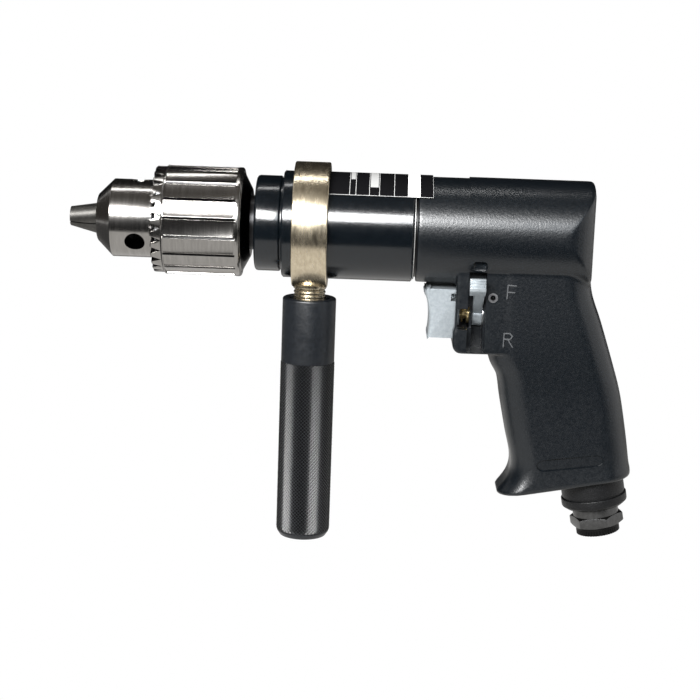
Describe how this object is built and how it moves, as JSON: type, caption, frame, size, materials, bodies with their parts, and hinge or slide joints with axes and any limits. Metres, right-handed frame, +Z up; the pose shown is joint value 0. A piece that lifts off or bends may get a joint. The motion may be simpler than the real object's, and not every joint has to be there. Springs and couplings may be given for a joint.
{
  "type": "air drill",
  "caption": "Pistol grip pneumatic drill with a keyed chuck, side handle on a clamp band, trigger, reverse lever and threaded air inlet.",
  "frame": {"origin": "on the spindle axis at the tips of the chuck jaws", "axes": "+X runs back along the spindle, +Z is up, -Y is the side with the reverse lever"},
  "size_m": [0.2286, 0.05, 0.1533],
  "materials": {
    "machined_steel": "ground steel of the hidden gears, shafts and bearings",
    "chuck_steel": "turned and polished steel with fine turning lines",
    "jaw_steel": "hardened steel, satin",
    "black_paint": "satin black paint on cast aluminium, fine texture",
    "deflector_grey": "matt dark grey coating",
    "label_film": "glossy black film with plain ruled boxes",
    "band_bronze": "brushed band with a pale gold passivated finish",
    "black_oxide": "black oxide steel, knurled below",
    "zinc_casting": "frosted zinc casting",
    "brass": "turned brass",
    "rubber": "black nitrile rubber",
    "felt": "pressed felt",
    "vane_fibre": "laminated resin and cloth",
    "black_plastic": "moulded black plastic with ribs",
    "dark_steel": "dark phosphated steel with bright edges",
    "joint_grey": "grey sealing ring",
    "motor_iron": "ground cast iron"
  },
  "bodies": {
    "housing": {"motor_housing": "black_paint", "gear_case": "black_paint", "nose_collar": "black_paint", "joint_ring": "joint_grey", "data_plate": "label_film", "roll_pin": "machined_steel", "ring_gear": "machined_steel", "front_bearing_outer": "machined_steel", "front_bearing_balls": "machined_steel", "rear_bearing_outer": "machined_steel", "rear_bearing_balls": "machined_steel", "bearing_spacer": "machined_steel", "grease_seal": "rubber", "motor_cylinder": "motor_iron", "front_plate": "motor_iron", "rear_plate": "motor_iron", "rotor_front_bearing": "machined_steel", "rotor_rear_bearing": "machined_steel", "cylinder_dowel": "machined_steel", "throttle_seat": "brass", "throttle_bush": "brass", "trigger_spring": "brass", "inlet_bushing": "dark_steel", "exhaust_deflector": "deflector_grey", "muffler": "felt", "inlet_screen": "machined_steel", "inlet_seal": "rubber"},
    "spindle": {"spindle": "machined_steel", "spindle_pins": "machined_steel", "chuck_body": "chuck_steel", "chuck_screw": "machined_steel", "front_bearing_inner": "machined_steel", "rear_bearing_inner": "machined_steel"},
    "sleeve": {"chuck_sleeve": "chuck_steel", "jaw_nut": "machined_steel"},
    "jaw_1": {"jaw_1": "jaw_steel"},
    "jaw_2": {"jaw_2": "jaw_steel"},
    "jaw_3": {"jaw_3": "jaw_steel"},
    "spindle_planet_1": {"spindle_planet_1": "machined_steel"},
    "spindle_planet_2": {"spindle_planet_2": "machined_steel"},
    "spindle_planet_3": {"spindle_planet_3": "machined_steel"},
    "carrier": {"carrier": "machined_steel", "carrier_pins": "machined_steel"},
    "carrier_planet_1": {"carrier_planet_1": "machined_steel"},
    "carrier_planet_2": {"carrier_planet_2": "machined_steel"},
    "carrier_planet_3": {"carrier_planet_3": "machined_steel"},
    "rotor": {"rotor": "machined_steel", "vanes": "vane_fibre"},
    "clamp": {"clamp_band": "band_bronze"},
    "pad": {"pressure_pad": "brass"},
    "handle": {"side_handle": "black_oxide", "handle_stud": "machined_steel"},
    "trigger": {"trigger": "zinc_casting", "throttle_stem": "brass", "throttle_valve": "rubber"},
    "lever": {"reverse_lever": "zinc_casting", "reverse_valve": "machined_steel", "reverse_seal": "rubber"},
    "plug": {"dust_plug": "black_plastic"}
  },
  "joints": [
    {"name": "spindle_spin", "type": "hinge", "parent": "housing", "child": "spindle", "pos_m": [0.09, 0, 0], "axis": [1, 0, 0], "continuous": true},
    {"name": "sleeve_turn", "type": "hinge", "parent": "spindle", "child": "sleeve", "pos_m": [0.05, 0, 0], "axis": [1, 0, 0], "range_deg": [0, 4635]},
    {"name": "jaw_1_slide", "type": "slide", "parent": "spindle", "child": "jaw_1", "axis": [0.9659, -0.2264, 0.1255], "range_m": [0, 0.0207]},
    {"name": "jaw_2_slide", "type": "slide", "parent": "spindle", "child": "jaw_2", "axis": [0.9659, 0.0045, -0.2588], "range_m": [0, 0.0207]},
    {"name": "jaw_3_slide", "type": "slide", "parent": "spindle", "child": "jaw_3", "axis": [0.9659, 0.2219, 0.1333], "range_m": [0, 0.0207]},
    {"name": "spindle_planet_1_spin", "type": "hinge", "parent": "spindle", "child": "spindle_planet_1", "pos_m": [0.1134, 0, 0.0096], "axis": [1, 0, 0], "continuous": true},
    {"name": "spindle_planet_2_spin", "type": "hinge", "parent": "spindle", "child": "spindle_planet_2", "pos_m": [0.1134, -0.00831, -0.0048], "axis": [1, 0, 0], "continuous": true},
    {"name": "spindle_planet_3_spin", "type": "hinge", "parent": "spindle", "child": "spindle_planet_3", "pos_m": [0.1134, 0.00831, -0.0048], "axis": [1, 0, 0], "continuous": true},
    {"name": "carrier_spin", "type": "hinge", "parent": "housing", "child": "carrier", "pos_m": [0.119, 0, 0], "axis": [1, 0, 0], "continuous": true},
    {"name": "carrier_planet_1_spin", "type": "hinge", "parent": "carrier", "child": "carrier_planet_1", "pos_m": [0.1242, 0, 0.0096], "axis": [1, 0, 0], "continuous": true},
    {"name": "carrier_planet_2_spin", "type": "hinge", "parent": "carrier", "child": "carrier_planet_2", "pos_m": [0.1242, -0.00831, -0.0048], "axis": [1, 0, 0], "continuous": true},
    {"name": "carrier_planet_3_spin", "type": "hinge", "parent": "carrier", "child": "carrier_planet_3", "pos_m": [0.1242, 0.00831, -0.0048], "axis": [1, 0, 0], "continuous": true},
    {"name": "rotor_spin", "type": "hinge", "parent": "housing", "child": "rotor", "pos_m": [0.16, 0, 0], "axis": [1, 0, 0], "continuous": true},
    {"name": "band_swing", "type": "hinge", "parent": "housing", "child": "clamp", "pos_m": [0.09621, 0, 0], "axis": [1, 0, 0], "continuous": true},
    {"name": "pad_rise", "type": "slide", "parent": "clamp", "child": "pad", "axis": [0, 0, 1], "range_m": [-0.00301, 0]},
    {"name": "handle_turn", "type": "hinge", "parent": "pad", "child": "handle", "pos_m": [0.09621, 0, -0.08], "axis": [0, 0, 1], "range_deg": [-720, 0]},
    {"name": "trigger_pull", "type": "slide", "parent": "housing", "child": "trigger", "axis": [1, 0, 0], "range_m": [0, 0.0035], "stiffness_N_per_m": 1500, "springref_m": -0.004, "deforming": ["trigger_spring"]},
    {"name": "lever_swing", "type": "hinge", "parent": "housing", "child": "lever", "pos_m": [0.1636, 0, -0.0335], "axis": [1, 0, 0], "range_deg": [0, 70]},
    {"name": "plug_pull", "type": "slide", "parent": "housing", "child": "plug", "axis": [0.1822, 0, -0.9833], "range_m": [0, 0.05]}
  ],
  "couplings": [
    {"joint": "jaw_1_slide", "follows": "sleeve_turn", "m_per_rad": 0.00025465},
    {"joint": "jaw_2_slide", "follows": "sleeve_turn", "m_per_rad": 0.00025465},
    {"joint": "jaw_3_slide", "follows": "sleeve_turn", "m_per_rad": 0.00025465},
    {"joint": "spindle_planet_1_spin", "follows": "spindle_spin", "ratio": -2.6},
    {"joint": "spindle_planet_2_spin", "follows": "spindle_spin", "ratio": -2.6},
    {"joint": "spindle_planet_3_spin", "follows": "spindle_spin", "ratio": -2.6},
    {"joint": "carrier_spin", "follows": "spindle_spin", "ratio": 5.3333},
    {"joint": "carrier_planet_1_spin", "follows": "spindle_spin", "ratio": -13.867},
    {"joint": "carrier_planet_2_spin", "follows": "spindle_spin", "ratio": -13.867},
    {"joint": "carrier_planet_3_spin", "follows": "spindle_spin", "ratio": -13.867},
    {"joint": "rotor_spin", "follows": "spindle_spin", "ratio": 28.444},
    {"joint": "pad_rise", "follows": "handle_turn", "m_per_rad": 0.00023873}
  ]
}
